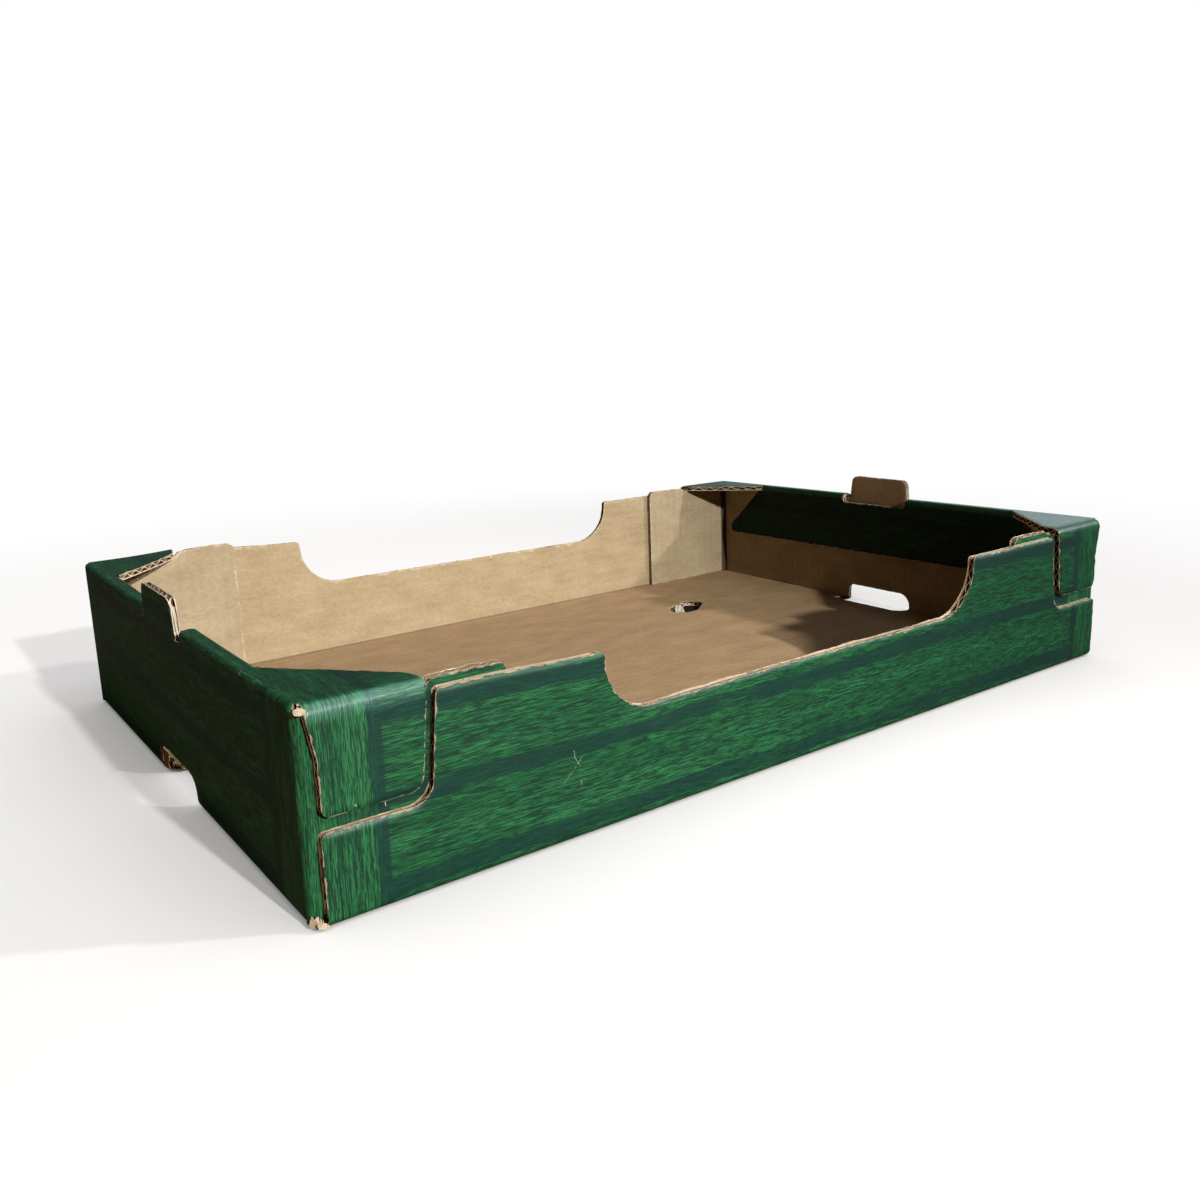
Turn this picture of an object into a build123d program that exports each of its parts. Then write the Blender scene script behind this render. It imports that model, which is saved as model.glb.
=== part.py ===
from build123d import *
import os

# A stacking produce tray, die-cut, folded and glued from one blank of corrugated board.
# X runs along the tray, Y across it and Z up. The origin is at the middle of its underside.

# Overall sizes, in millimetres
length = 600.0
width = 400.0
rim_height = 98.5

# The board and its folds
board = 4.5
crease_radius = 0.3
fold_radius = 4.5
strip_fold_radius = 3.0
corner_fold_radius = 4.0
corner_slit = 1.0

# The flutes inside the board, which lie open where a cut edge crosses them
flute_pitch = 8.0
flute_liner = 0.5
flute_wall = 0.7
flute_crest = 0.8
flute_depth = 1.6

# Long sides: the outermost layer at the corners, dipped in the middle
side_step = 5.5
side_end_gap = 6.5
dip_half = 146.5
dip_depth = 34.5
dip_corner = 30.0
dip_lip_radius = 3.0

# Ends: a wall whose top folds inwards over itself and hangs down inside
strip_gap = 0.8
flap_depth = 50.0
flap_half = 133.0
flap_spread = 52.0
flap_shoulder = 43.0
flap_corner = 3.0

# Corner flaps: the ends of the end walls, glued inside the long sides
corner_flap_reach = 102.0
corner_flap_step = 2.0
corner_flap_lip = 5.0
corner_flap_rise = 9.0

# Corner platforms and the glue tabs that hang from them in front of the corner flaps
platform_run = 67.0
platform_knee_in = 54.5
platform_knee_out = 15.0
platform_knee_radius = 3.0
tab_reach = 57.0
tab_start = 4.0
tab_depth = 50.0
tab_inset = 3.5
tab_inset_drop = 20.0
tab_slant = 4.5
tab_near_corner = 5.0
tab_far_corner = 8.0

# Recesses that the long sides leave round the glue tabs
recess_side_gap = 5.5
recess_gap_below = 6.2
recess_corner = 11.0
recess_lip_radius = 3.0

# Stacking tabs, standing in the plane of each end wall, in a break of the strip
tab_half = 31.0
tab_taper = 2.25
tab_rise = 15.0
stack_tab_corner = 6.0
tab_slit = 1.0
tab_wide_gap = 9.0
opening_depth = 7.5
opening_corner = 4.0

# Receptacles in the foot of each end wall, for the stacking tabs of the tray below
receptacle_half = 36.0
receptacle_height = 16.5
receptacle_inward = 17.0
receptacle_corner = 10.0

# A torn piece of the floor that still hangs in the left receptacle
scrap_near = 21.0
scrap_inset = 8.0

# The vent hole in the floor, with a scrap of torn board lifted in it
vent_x = 166.0
vent_y = 103.0
vent_length = 38.0
vent_width = 24.0
vent_scrap_length = 20.0
vent_scrap_width = 16.0
vent_scrap_lift = 6.0

# Places that follow from these sizes
end_x = -length / 2
side_y = -width / 2
side_height = rim_height - side_step
wall_end_y = side_y + 2 * board
strip_width = 2 * board + strip_gap
strip_middle_x = end_x + strip_width / 2
platform_under = rim_height - board
side_end_x = end_x + side_end_gap
opening_floor = rim_height - opening_depth
recess_floor = rim_height - tab_depth - recess_gap_below
flute_height = board - 2 * flute_liner
flute_foot = flute_pitch - flute_crest - 2 * flute_wall
flap_top_run = corner_flap_reach - corner_flap_lip - tab_reach - corner_flap_rise

# How many pairs of flutes each cut edge has room for, clear of its rounded corners
flap_top_pairs = int(flap_top_run // flute_pitch)
stack_tab_pairs = int(2 * (tab_half - tab_taper - stack_tab_corner) // flute_pitch)
platform_pairs = int((platform_run - platform_knee_out - platform_knee_radius) // flute_pitch)
glue_tab_pairs = int((tab_depth - board - tab_far_corner) // flute_pitch)
dip_pairs = int((dip_depth - dip_lip_radius) // flute_pitch)
recess_pairs = int((side_height - recess_lip_radius - recess_floor - recess_corner) // flute_pitch)
side_end_pairs = int((recess_floor - board) // flute_pitch)

# Two open flutes as they show at a cut edge: a hollow against each face of the board, with
# the wavy middle layer left standing between them. Every block below cuts rows of them
with BuildSketch() as flute_pair:
    with PolarLocations(flute_pitch / 4, 2):
        Polygon(
            (-flute_foot / 2, -flute_height / 2), (flute_foot / 2, -flute_height / 2),
            (flute_crest / 2, flute_height / 2), (-flute_crest / 2, flute_height / 2),
        )


# Floor, end wall and the outer half of the rim strip, as one folded section.
# This block and the next ones make the front half of the left end.
with BuildPart() as end_wall:
    with BuildSketch(Plane.XZ):
        with BuildLine():
            FilletPolyline(
                (0, 0), (end_x, 0), (end_x, rim_height), (strip_middle_x, rim_height),
                (strip_middle_x, platform_under), (end_x + board, platform_under),
                (end_x + board, board), (0, board),
                radius=[0, fold_radius, strip_fold_radius, 0, 0, crease_radius, crease_radius, 0],
                close=True,
            )
        make_face()
    extrude(amount=-wall_end_y)
    # The rim fold carries on over the rounded corner, as far as the corner flap's face
    with BuildSketch(Plane.XZ.offset(-wall_end_y)):
        with BuildLine():
            FilletPolyline(
                (end_x, platform_under), (end_x, rim_height), (strip_middle_x, rim_height),
                (strip_middle_x, platform_under),
                radius=[0, strip_fold_radius, 0, 0],
                close=True,
            )
        make_face()
    extrude(amount=board)

# The inner half of the strip and the flap that hangs from it inside the wall
with BuildPart() as inner_flap:
    with BuildSketch(Plane.XZ):
        with BuildLine():
            FilletPolyline(
                (strip_middle_x, rim_height), (end_x + strip_width, rim_height),
                (end_x + strip_width, rim_height - flap_depth),
                (end_x + strip_width - board, rim_height - flap_depth),
                (end_x + strip_width - board, platform_under), (strip_middle_x, platform_under),
                radius=[0, strip_fold_radius, 0, 0, crease_radius, 0],
                close=True,
            )
        make_face()
    extrude(amount=flap_half + flap_spread)
    # Its die-cut outline spreads below the platforms, which hold it down
    with BuildSketch(Plane.YZ.offset(end_x)):
        with BuildLine():
            FilletPolyline(
                (0, rim_height), (-flap_half, rim_height),
                (-flap_half, platform_under - corner_slit),
                (-flap_half - flap_spread, rim_height - flap_shoulder),
                (-flap_half - flap_spread, rim_height - flap_depth),
                (0, rim_height - flap_depth),
                radius=[0, 0, 0, flap_corner, flap_corner, 0],
                close=True,
            )
        make_face()
    extrude(amount=strip_width, mode=Mode.INTERSECT)

# The wall's end turns the corner and runs on inside the long side as the corner flap
with BuildPart() as corner_flap:
    with BuildSketch(Plane.XY):
        with BuildLine():
            FilletPolyline(
                (end_x, wall_end_y), (end_x, side_y + board),
                (end_x + corner_flap_reach, side_y + board),
                (end_x + corner_flap_reach, wall_end_y),
                radius=[0, corner_fold_radius, 0, 0],
                close=True,
            )
        make_face()
    extrude(amount=rim_height)
    # Its outline stands on the floor, passes under the platform and rises beyond it
    with BuildSketch(Plane.XZ.offset(-wall_end_y)):
        with BuildLine():
            FilletPolyline(
                (end_x, corner_slit), (side_end_x, corner_slit), (side_end_x, board),
                (end_x + corner_flap_reach, board),
                (end_x + corner_flap_reach, rim_height - corner_flap_step),
                (end_x + tab_reach + corner_flap_rise, rim_height - corner_flap_step),
                (end_x + tab_reach, platform_under), (end_x, platform_under),
                radius=[0, 0, 0, 0, corner_flap_lip, 0, 0, 0],
                close=True,
            )
        make_face()
    extrude(amount=board, mode=Mode.INTERSECT)
    # Its flutes stand upright, as the wall's do, and lie open along its top edge
    with BuildSketch(Plane.XY.offset(rim_height - corner_flap_step)):
        with Locations((end_x + corner_flap_reach - corner_flap_lip - flap_top_run / 2,
                        side_y + board + board / 2)):
            with GridLocations(flute_pitch, board, flap_top_pairs, 1):
                add(flute_pair.sketch)
    extrude(amount=-flute_depth, mode=Mode.SUBTRACT)

# The platform's flutes run along the tray. They are drawn right through, and a shallow band
# of them is kept along the slanted edge that crosses them
with BuildPart() as platform_flutes:
    with BuildSketch(Plane.YZ.offset(end_x)):
        with Locations((side_y + (platform_knee_out + platform_run) / 2, rim_height - board / 2)):
            with GridLocations(flute_pitch, board, platform_pairs, 1):
                add(flute_pair.sketch)
    extrude(amount=tab_reach + board)
    with BuildSketch(Plane.XY):
        with BuildLine():
            Polyline(
                (end_x + strip_width - flute_depth, side_y + platform_run),
                (end_x + platform_knee_in - flute_depth, side_y + platform_knee_out),
                (end_x + platform_knee_in + board, side_y + platform_knee_out),
                (end_x + strip_width + board, side_y + platform_run),
                close=True,
            )
        make_face()
    extrude(amount=rim_height, mode=Mode.INTERSECT)

# The platform and its glue tab, folded down over the corner flap
with BuildPart() as platform:
    with BuildSketch(Plane.YZ.offset(end_x)):
        with BuildLine():
            FilletPolyline(
                (side_y + platform_run, rim_height), (side_y, rim_height),
                (side_y, rim_height - tab_depth), (side_y + board, rim_height - tab_depth),
                (side_y + board, platform_under), (side_y + platform_run, platform_under),
                radius=[0, fold_radius, 0, 0, crease_radius, 0],
                close=True,
            )
        make_face()
    extrude(amount=tab_reach)
    # The platform's outline from above: a slanted inner edge and a short step to the tab
    with BuildSketch(Plane.XY):
        with BuildLine():
            FilletPolyline(
                (end_x + tab_start, side_y), (end_x + tab_reach, side_y),
                (end_x + platform_knee_in, side_y + platform_knee_out),
                (end_x + strip_width, side_y + platform_run),
                (end_x + tab_start, side_y + platform_run),
                radius=[0, 0, platform_knee_radius, 0, 0],
                close=True,
            )
        make_face()
    extrude(amount=rim_height, mode=Mode.INTERSECT)
    # The glue tab's outline from the front
    with BuildSketch(Plane.XZ.offset(-side_y)) as tab_outline:
        with BuildLine():
            FilletPolyline(
                (end_x + tab_start, rim_height), (end_x + tab_start, platform_under),
                (end_x + tab_start + tab_inset, platform_under - tab_inset_drop),
                (end_x + tab_start + tab_inset, rim_height - tab_depth),
                (end_x + tab_reach - tab_slant, rim_height - tab_depth),
                (end_x + tab_reach, platform_under), (end_x + tab_reach, rim_height),
                radius=[0, 0, 0, tab_near_corner, tab_far_corner, 0, 0],
                close=True,
            )
        make_face()
    extrude(amount=-platform_run, mode=Mode.INTERSECT)
    # Open flutes along the slanted edge, and down both sides of the glue tab
    add(platform_flutes.part, mode=Mode.SUBTRACT)
    for edge_x, inward in (
        (end_x, tab_start + tab_inset + flute_depth),
        (end_x + tab_reach, -tab_slant - flute_depth),
    ):
        with BuildSketch(Plane.YZ.offset(edge_x)):
            with Locations((side_y + board / 2, platform_under - flute_pitch * glue_tab_pairs / 2)):
                with GridLocations(board, flute_pitch, 1, glue_tab_pairs):
                    add(flute_pair.sketch, rotation=90)
        extrude(amount=inward, mode=Mode.SUBTRACT)

# Half of the long side with its fold to the floor
with BuildPart() as long_side:
    with BuildSketch(Plane.YZ):
        with BuildLine():
            FilletPolyline(
                (side_y, 0), (wall_end_y, 0), (wall_end_y, board), (side_y + board, board),
                (side_y + board, side_height), (side_y, side_height),
                radius=[fold_radius, 0, 0, crease_radius, 0, 0],
                close=True,
            )
        make_face()
    extrude(amount=side_end_x)
    # Its outline from the front: the dip, and the recess that leaves room for the glue tab
    with BuildSketch(Plane.XZ.offset(-side_y)):
        with BuildLine():
            FilletPolyline(
                (0, 0), (side_end_x, 0),
                (side_end_x, rim_height - tab_depth - recess_gap_below),
                (end_x + tab_reach - tab_slant + recess_side_gap,
                 rim_height - tab_depth - recess_gap_below),
                (end_x + tab_reach + recess_side_gap, side_height),
                (-dip_half, side_height), (-dip_half, side_height - dip_depth),
                (0, side_height - dip_depth),
                radius=[0, 0, 0, recess_corner, recess_lip_radius, dip_lip_radius, dip_corner, 0],
                close=True,
            )
        make_face()
    extrude(amount=-2 * board, mode=Mode.INTERSECT)
    # Its flutes run along it, and lie open in the dip, beside the glue tab and at its end
    for edge_x, inward, top_z, pairs in (
        (0, -dip_half - flute_depth, side_height - dip_lip_radius, dip_pairs),
        (side_end_x, end_x + tab_reach + recess_side_gap + flute_depth - side_end_x,
         side_height - recess_lip_radius, recess_pairs),
        (side_end_x, flute_depth, recess_floor - flute_pitch / 4, side_end_pairs),
    ):
        with BuildSketch(Plane.YZ.offset(edge_x)):
            with Locations((side_y + board / 2, top_z - flute_pitch * pairs / 2)):
                with GridLocations(board, flute_pitch, 1, pairs):
                    add(flute_pair.sketch, rotation=90)
        extrude(amount=inward, mode=Mode.SUBTRACT)

# The whole left end: both halves, then the breaks in the rim and in the foot of the wall
with BuildPart() as left_end:
    add(end_wall.part)
    add(inner_flap.part)
    add(corner_flap.part)
    add(platform.part)
    add(long_side.part)
    mirror(about=Plane.XZ)
    # The break in the strip is wider on one side of the stacking tab than on the other
    with BuildSketch(Plane.YZ.offset(end_x)):
        with BuildLine():
            FilletPolyline(
                (-tab_half - tab_wide_gap, rim_height), (-tab_half - tab_wide_gap, opening_floor),
                (tab_half + tab_slit, opening_floor), (tab_half + tab_slit, rim_height),
                radius=[0, opening_corner, opening_corner, 0],
                close=True,
            )
        make_face()
    extrude(amount=strip_width, mode=Mode.SUBTRACT)
    with BuildSketch(Plane.YZ.offset(end_x)):
        with BuildLine():
            FilletPolyline(
                (-tab_half, opening_floor - board), (tab_half, opening_floor - board),
                (tab_half - tab_taper, rim_height + tab_rise),
                (-tab_half + tab_taper, rim_height + tab_rise),
                radius=[0, 0, stack_tab_corner, stack_tab_corner],
                close=True,
            )
        make_face()
    extrude(amount=board)
    # Its top edge crosses the wall's upright flutes
    with BuildSketch(Plane.XY.offset(rim_height + tab_rise)):
        with Locations((end_x + board / 2, 0)):
            with GridLocations(board, flute_pitch, 1, stack_tab_pairs):
                add(flute_pair.sketch, rotation=90)
    extrude(amount=-flute_depth, mode=Mode.SUBTRACT)
    # The receptacle is one rounded hole across the fold between wall and floor
    with BuildSketch(Plane.YZ.offset(end_x)):
        with BuildLine():
            FilletPolyline(
                (-receptacle_half, 0), (receptacle_half, 0),
                (receptacle_half, receptacle_height), (-receptacle_half, receptacle_height),
                radius=[0, 0, receptacle_corner, receptacle_corner],
                close=True,
            )
        make_face()
    extrude(amount=board + crease_radius, mode=Mode.SUBTRACT)
    with BuildSketch(Plane.XY):
        with BuildLine():
            FilletPolyline(
                (end_x, -receptacle_half), (end_x + receptacle_inward, -receptacle_half),
                (end_x + receptacle_inward, receptacle_half), (end_x, receptacle_half),
                radius=[0, receptacle_corner, receptacle_corner, 0],
                close=True,
            )
        make_face()
    extrude(amount=board, mode=Mode.SUBTRACT)

# The right end is the same end turned about the middle of the tray
with BuildPart() as tray:
    add(left_end.part)
    add(left_end.part, rotation=(0, 0, 180))
    # The torn corner of the left receptacle was never knocked out
    with BuildSketch(Plane.XY):
        with BuildLine():
            Polyline(
                (end_x + crease_radius, receptacle_half + board),
                (end_x + scrap_inset, scrap_near),
                (end_x + receptacle_inward + board, scrap_near + board),
                (end_x + receptacle_inward + board, receptacle_half + board),
                close=True,
            )
        make_face()
    extrude(amount=board)
    # Vent hole, and the scrap of board that stands up at its left end
    with BuildSketch(Plane.XY):
        with Locations((vent_x, vent_y)):
            SlotOverall(vent_length, vent_width)
    extrude(amount=board, mode=Mode.SUBTRACT)
    # Its section is a wedge lifted from the floor's top, seen from the front
    with BuildSketch(Plane.XZ.offset(-vent_y - vent_scrap_width / 2)):
        with BuildLine():
            Polyline(
                (vent_x - vent_length / 2 - board, board / 2),
                (vent_x - vent_length / 2 + board, board / 2),
                (vent_x - vent_length / 2 + vent_scrap_length, board / 2 + vent_scrap_lift),
                (vent_x - vent_length / 2 + vent_scrap_length, board + vent_scrap_lift),
                (vent_x - vent_length / 2 - board, board),
                close=True,
            )
        make_face()
    extrude(amount=vent_scrap_width)

os.makedirs("parts", exist_ok=True)
tray.part.label = "tray"
export_step(tray.part, "parts/tray.step")
print("tray", len(tray.part.solids()), "solid", round(tray.part.volume), "mm3")
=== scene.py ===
# %% [markdown]
# # A stacking tray of corrugated board
# The tray is one sheet of single-wall corrugated board that was die-cut, folded and glued.
# This lesson builds it the way a box maker would: it draws each die-cut outline flat, and a
# small function then folds the flat points into place. Drawing it flat keeps the cut edges,
# the flutes and the print in register with each other, which moving boxes about would not.

# %% Load the fixed frame and keep its box
import bpy
import math
import numpy as np
from types import SimpleNamespace
from mathutils import Matrix, Vector
from mathutils.geometry import delaunay_2d_cdt


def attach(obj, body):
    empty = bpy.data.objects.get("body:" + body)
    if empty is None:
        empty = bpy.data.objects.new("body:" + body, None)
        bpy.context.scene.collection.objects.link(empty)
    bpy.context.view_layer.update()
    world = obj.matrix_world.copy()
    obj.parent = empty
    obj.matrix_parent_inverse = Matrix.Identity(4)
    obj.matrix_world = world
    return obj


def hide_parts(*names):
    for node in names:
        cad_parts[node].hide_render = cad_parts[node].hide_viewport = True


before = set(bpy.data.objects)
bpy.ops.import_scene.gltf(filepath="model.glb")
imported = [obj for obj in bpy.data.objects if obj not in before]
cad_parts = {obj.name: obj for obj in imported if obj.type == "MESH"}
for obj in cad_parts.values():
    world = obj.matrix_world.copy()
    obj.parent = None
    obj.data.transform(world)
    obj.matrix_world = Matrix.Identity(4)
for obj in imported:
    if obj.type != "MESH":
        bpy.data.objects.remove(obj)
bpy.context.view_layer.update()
rng = np.random.default_rng(7)

# %% [markdown]
# ## Camera
# The photo was taken from the front left, a little above the rim, with a normal phone lens.
# The camera comes first, so that every later step can be looked at from the right place.
# Its direction is given by an azimuth, an elevation and a small roll.

# %% Camera
azimuth = math.radians(-35.8875)
elevation = math.radians(13.619)
roll = math.radians(-1.964)
toward_camera = Vector((
    math.sin(azimuth) * math.cos(elevation),
    -math.cos(azimuth) * math.cos(elevation),
    math.sin(elevation),
))
level_right = (-toward_camera).cross(Vector((0, 0, 1))).normalized()
level_up = level_right.cross(-toward_camera)
camera_right = math.cos(roll) * level_right + math.sin(roll) * level_up
camera_up = -math.sin(roll) * level_right + math.cos(roll) * level_up

camera = bpy.data.objects.new("camera", bpy.data.cameras.new("camera"))
bpy.context.scene.collection.objects.link(camera)
camera.data.sensor_width = 36.0
camera.data.lens = 31.77
camera.location = (-0.43158, -0.59162, 0.23417)
camera_axes = Matrix((camera_right, camera_up, toward_camera)).transposed()
camera.rotation_mode = "QUATERNION"
camera.rotation_quaternion = camera_axes.to_quaternion()
bpy.context.scene.camera = camera
print("camera at", tuple(camera.location))

# %% [markdown]
# ## Sizes of the sheet
# All drawing below is in millimetres, with the origin at the middle of the underside, and is
# turned into metres only when a mesh is made. These are the same sizes as the solid's.

# %% Sizes
length = 600.0
width = 400.0
rim = 98.5
board = 4.5
end_x = -length / 2
side_y = -width / 2
side_top = 93.0
strip_width = 9.8
flap_bottom = 48.5
flute_pitch = 8.0
liner = 0.6
quarter = math.pi / 2

# %% [markdown]
# ## Folding a flat sheet
# A fold is an outside arc round an inside crease, or round a smaller arc where it is wider
# than the board is thick. `fold_path` walks along the outside line of a folded section and
# notes, at each station, its flat position, its outside point and the inside point one board
# further in. `along` reads a point between stations. A flat sheet can then be folded by looking
# up where its flat coordinate lands. A fold's arc takes less board than its two sides up to
# their corner, so three flat places differ from the folded ones: the floor's level on a long
# side, a corner flap's end and an end wall's foot.

# %% Folded sections
def fold_path(corners, start, side):
    """Stations of a folded section: flat position, outside point, inside point."""
    points = [np.array(c[:2], float) for c in corners]
    steps = [b - a for a, b in zip(points, points[1:])]
    runs = [s / np.linalg.norm(s) for s in steps]
    inward = [side * np.array([-r[1], r[0]]) for r in runs]
    stations = [(start, points[0], points[0] + inward[0] * board)]
    flat = start
    here = points[0]
    for i in range(1, len(points) - 1):
        radius = corners[i][2]
        before, after = runs[i - 1], runs[i]
        reach = max(radius, board)
        slack = reach - radius
        flat += np.linalg.norm(points[i] - here) - reach
        if slack > 0:
            inner = points[i] + board * (after - before)
            stations.append((flat, points[i] - before * reach, inner))
        flat += slack
        centre = points[i] + radius * (after - before)
        for k in range(7):
            turn = quarter * k / 6
            ray = math.cos(turn) * after - math.sin(turn) * before
            inner = points[i] + reach * (after - before) - (reach - board) * ray
            stations.append((flat + radius * turn, centre - radius * ray, inner))
        flat += radius * quarter + slack
        here = points[i] + after * reach
        if slack > 0:
            stations.append((flat, here, inner))
    flat += np.linalg.norm(points[-1] - here)
    stations.append((flat, points[-1], points[-1] + inward[-1] * board))
    return stations


def along(stations, flat):
    """Outside and inside points of a section at flat positions, held at its ends beyond them."""
    s = [t[0] for t in stations]
    out = [np.interp(flat, s, [t[1][k] for t in stations]) for k in (0, 1)]
    inn = [np.interp(flat, s, [t[2][k] for t in stations]) for k in (0, 1)]
    return np.stack(out, -1), np.stack(inn, -1)


side_foot = 198.07
flap_end = 295.78
wall_foot = -2.57
base_section = fold_path(
    [(side_y, side_top), (side_y, 0, 4.5), (-side_y, 0, 4.5), (-side_y, side_top)],
    -side_foot - side_top, 1
)
end_plan = fold_path(
    [(-198, side_y + board), (end_x, side_y + board, 4.0), (end_x, -side_y - board, 4.0),
     (-198, -side_y - board)], -flap_end, -1
)
end_profile = fold_path(
    [(board, 0), (0, 0, 4.5), (0, rim, 3.0), (strip_width, rim, 3.0), (strip_width, flap_bottom)],
    wall_foot, -1
)
platform_section = fold_path([(side_y, flap_bottom), (side_y, rim, 5.5), (-133, rim)], flap_bottom, -1)
print("flat width of the base", round(base_section[-1][0] * 2, 1), "mm")

# %% [markdown]
# ## Where the flat points land
# Each function takes flat coordinates u and v and a depth w into the board, from 0 on the
# printed side to 4.5 on the bare side. The base and the platforms fold about lines along the
# tray. An end wall folds about the upright corner lines and about the lines along its top and
# foot, which the corner flaps beyond those corners don't share: they stay straight.

# %% Folding functions
def fold_along(section):
    """A fold about lines along the tray, by its section."""
    def fold(u, v, w):
        out, inn = along(section, v)
        spot = out + (inn - out) * (w / board)[:, None]
        return np.column_stack([u, spot[:, 0], spot[:, 1]])

    return fold


def fold_end(u, v, w):
    out, inn = along(end_plan, u)
    top, under = along(end_profile, v)
    drop = top + (under - top) * (w / board)[:, None]
    flap = (np.abs(u) > 195.5) | ((np.abs(u) > 191.0) & (v < 4.5))
    drop[flap, 0] = w[flap]
    drop[flap, 1] = v[flap]
    plan = out + (inn - out) / board * drop[:, :1]
    return np.column_stack([plan, drop[:, 1]])


def stand_tab(u, v, w):
    return np.column_stack([end_x + w, u, v])


def turned(fold, sx, sy):
    """The same fold at another corner of the tray."""
    return lambda u, v, w: fold(u, v, w) * np.array([sx, sy, 1])


fold_base = fold_along(base_section)
fold_platform = fold_along(platform_section)
print("a flat point 105 mm up an end lands at", fold_end(*np.array([[0.0], [105.0], [0.0]]))[0])

# %% [markdown]
# ## Small bends of the used tray
# Real board is never square. The rim of this tray is twisted by a few millimetres, its end
# walls bulge and the long sides wave a little. The front rim sags left of its dip, the back
# left corner stands higher, and the floor is a little swollen in the middle. One smooth
# function moves every point of every piece, so that neighbours stay together. It only ever
# moves points inside the solid's box.

# %% Settling
def settled(p):
    x, y, z = p.T.copy()
    across_x, across_y = x / 300, y / 200
    up = np.clip(z / rim, 0, 1)
    twist = 0.125 - 0.375 * across_x - 1.125 * across_y - 1.625 * across_x * across_y
    sag = 2.4 * np.exp(-((x + 152) / 45) ** 2 - ((y + 200) / 40) ** 2)
    hump = 3.3 * np.exp(-((x + 212) / 42) ** 2 - ((y - 200) / 25) ** 2)
    room = np.clip((113.5 - z) / 15, 0, 1)
    dz = up * room * (twist - sag + hump)
    swell = 0.7 * np.exp(-(x / 190) ** 2 - (y / 120) ** 2) * (1 - up)
    bulge = 1 - 0.005 * across_y ** 2 * up
    wave = 0.5 + 0.25 * np.sin(x / 31 + 1.7) + 0.25 * np.sin(x / 13.3 + y / 90)
    lean = 1 - 0.0045 * up * wave
    bent = np.column_stack([x * bulge, y * lean, z + dz + swell])
    return np.clip(bent, (end_x, side_y, 0), (-end_x, -side_y, 113.5))


print("rim corners settle at", settled(np.array([[x, y, rim] for x in (end_x, -end_x)
                                                 for y in (side_y, -side_y)])).round(1).tolist())

# %% [markdown]
# ## The die-cut outline
# A steel rule cuts the blank, so its corners are rounded and its edges are a little ragged.
# `die_line` rounds the corners and places points about a millimetre apart on cut edges, and
# wider apart where the sheet only carries on into a fold. It also puts a point wherever the
# outline passes a fold's rows, so that the mesh bends cleanly there.

# %% Die-cut outlines
def die_line(corners, rows):
    """Points of a rounded outline, and whether the run after each point is a cut edge."""
    sharp = []
    count = len(corners)
    for i, (x, y, radius, kind) in enumerate(corners):
        p = np.array([x, y], float)
        to_last = np.array(corners[i - 1][:2]) - p
        to_next = np.array(corners[(i + 1) % count][:2]) - p
        to_last /= np.linalg.norm(to_last)
        to_next /= np.linalg.norm(to_next)
        if radius == 0:
            sharp.append((p, kind))
            continue
        half = math.acos(float(np.clip(to_last @ to_next, -1, 1))) / 2
        bisector = (to_last + to_next) / np.linalg.norm(to_last + to_next)
        centre = p + bisector * radius / math.sin(half)
        first = p + to_last * radius / math.tan(half) - centre
        last = p + to_next * radius / math.tan(half) - centre
        sweep = math.pi - 2 * half
        pieces = max(2, math.ceil(radius * sweep))
        for k in range(pieces + 1):
            a = math.sin((1 - k / pieces) * sweep) / math.sin(sweep)
            b = math.sin(k / pieces * sweep) / math.sin(sweep)
            sharp.append((centre + a * first + b * last, True if k < pieces else kind))
    points, cuts = [], []
    for (a, kind), (b, _) in zip(sharp, sharp[1:] + sharp[:1]):
        size = np.linalg.norm(b - a)
        if size < 1e-6:
            continue
        pieces = max(1, math.ceil(size / (1.0 if kind else 6.0) - 1e-6))
        steps = list(np.arange(pieces) / pieces)
        for axis in (0, 1):
            for row in rows[axis]:
                if (a[axis] - row) * (b[axis] - row) < 0:
                    steps.append((row - a[axis]) / (b[axis] - a[axis]))
        for t in sorted(set(np.round(steps, 6))):
            points.append(a + (b - a) * t)
            cuts.append(bool(kind))
    return np.array(points), np.array(cuts)


def inside(spots, loops):
    """Which spots lie in the board: an odd number of outlines' edges to their right."""
    odd = np.zeros(len(spots), bool)
    a = np.concatenate(loops)
    b = np.concatenate([np.roll(loop, -1, axis=0) for loop in loops])
    slope = (b[:, 0] - a[:, 0]) / np.where(b[:, 1] == a[:, 1], 1, b[:, 1] - a[:, 1])
    for start in range(0, len(spots), 1000):
        x, y = spots[start:start + 1000].T[:, :, None]
        level = (a[:, 1] > y) != (b[:, 1] > y)
        right = x < a[:, 0] + (y - a[:, 1]) * slope
        odd[start:start + 1000] = (level & right).sum(1) % 2 == 1
    return odd


def ragged(count, size):
    """Smooth random numbers along a cut edge, about as large as size."""
    rough = rng.normal(0, 1, count)
    soft = sum(np.roll(rough, k) for k in range(-2, 3)) / math.sqrt(5)
    return size * (0.5 * rough + 0.7 * soft)


print("a rounded square has", len(die_line([(0, 0, 2, True), (9, 0, 2, True), (9, 9, 2, True),
                                            (0, 9, 2, True)], ((), ()))[0]), "points")

# %% [markdown]
# ## Cut edges of corrugated board
# Corrugated board is a wavy medium between two flat liners. From the flat you see only the
# liners. At a cut across the flutes you see the wave between two thin pale lines, with dark
# hollows behind, and at a cut along the flutes a crushed, fuzzy edge. The cutting rule comes
# from the printed side, so it crushes that side most, and most of all where it runs along the
# flutes and not across them. Each outline is made ragged first, and notes at each point how
# far the two liners are crushed and how far the bare one stands out beyond the printed one.

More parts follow.
